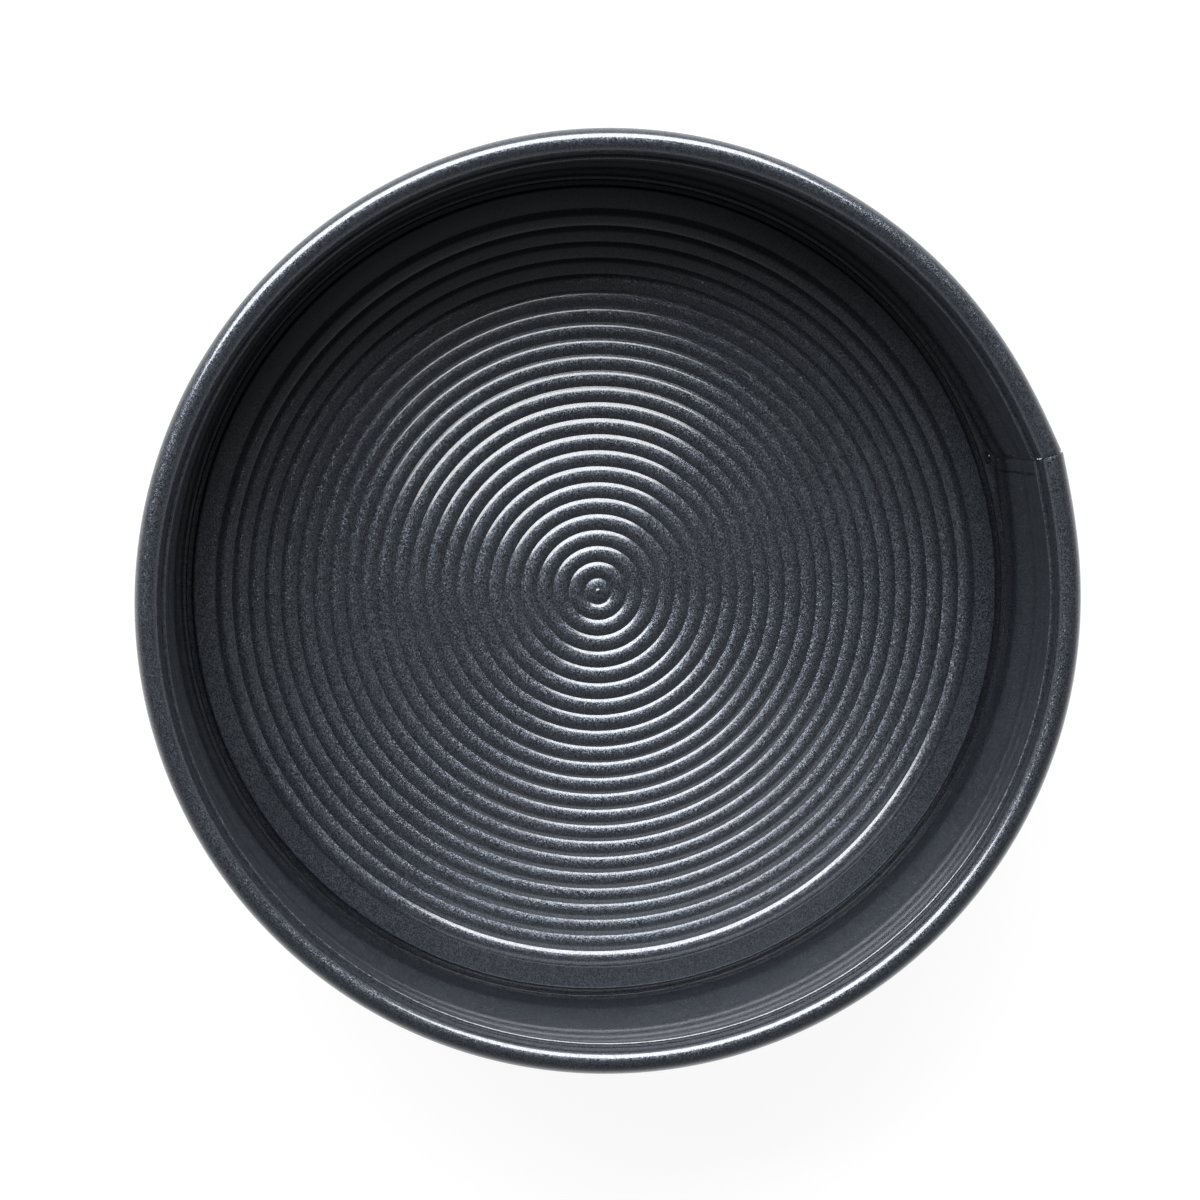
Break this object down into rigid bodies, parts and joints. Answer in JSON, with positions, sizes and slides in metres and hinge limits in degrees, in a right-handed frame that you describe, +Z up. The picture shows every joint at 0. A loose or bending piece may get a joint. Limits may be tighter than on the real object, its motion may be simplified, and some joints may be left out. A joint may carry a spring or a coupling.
{
  "type": "springform cake tin",
  "caption": "Round springform cake tin: a sprung side band with a rolled rim, closed by an over-centre clasp round a loose base plate with concentric pressed ripples.",
  "frame": {"origin": "centre of the footprint, on the surface that the tin stands on", "axes": "+Z up along the tin's axis, the seam and clasp face -Y, the lever's handle points towards -X"},
  "size_m": [0.2444, 0.2459, 0.068],
  "materials": {
    "band_coating": "dark grey metallic non-stick coating on steel, satin",
    "base_coating": "dark grey metallic non-stick coating with fine fleck, satin",
    "clasp_steel": "nickel-plated pressed steel, satin",
    "pin_steel": "plated turned steel"
  },
  "bodies": {
    "ring_fixed_side": {"side_band_left": "band_coating", "lever_bracket": "clasp_steel", "lever_pin": "pin_steel"},
    "ring_sprung_side": {"side_band_right": "band_coating", "catch_bracket": "clasp_steel", "catch_pin": "pin_steel"},
    "lever": {"lever": "clasp_steel", "link_pin": "pin_steel"},
    "link": {"link": "clasp_steel"},
    "base": {"base_plate": "base_coating"}
  },
  "joints": [
    {"name": "lever_pivot", "type": "hinge", "parent": "ring_fixed_side", "child": "lever", "pos_m": [-0.00723, -0.11858, 0.036], "axis": [0, 0, 1], "range_deg": [0, 150]},
    {"name": "link_pivot", "type": "hinge", "parent": "lever", "child": "link", "pos_m": [-0.01443, -0.11792, 0.036], "axis": [0, 0, 1], "range_deg": [-139.3, 0]},
    {"name": "band_spring", "type": "hinge", "parent": "ring_fixed_side", "child": "ring_sprung_side", "pos_m": [0, 0.1222, 0.034], "axis": [0, 0, 1], "range_deg": [0, 2.98]},
    {"name": "base_lift", "type": "slide", "parent": "ring_fixed_side", "child": "base", "axis": [0, 0, 1], "range_m": [0, 0.09]}
  ],
  "couplings": [
    {"joint": "link_pivot", "follows": "lever_pivot", "ratio": -0.92856},
    {"joint": "band_spring", "follows": "lever_pivot", "ratio": 0.019861}
  ]
}
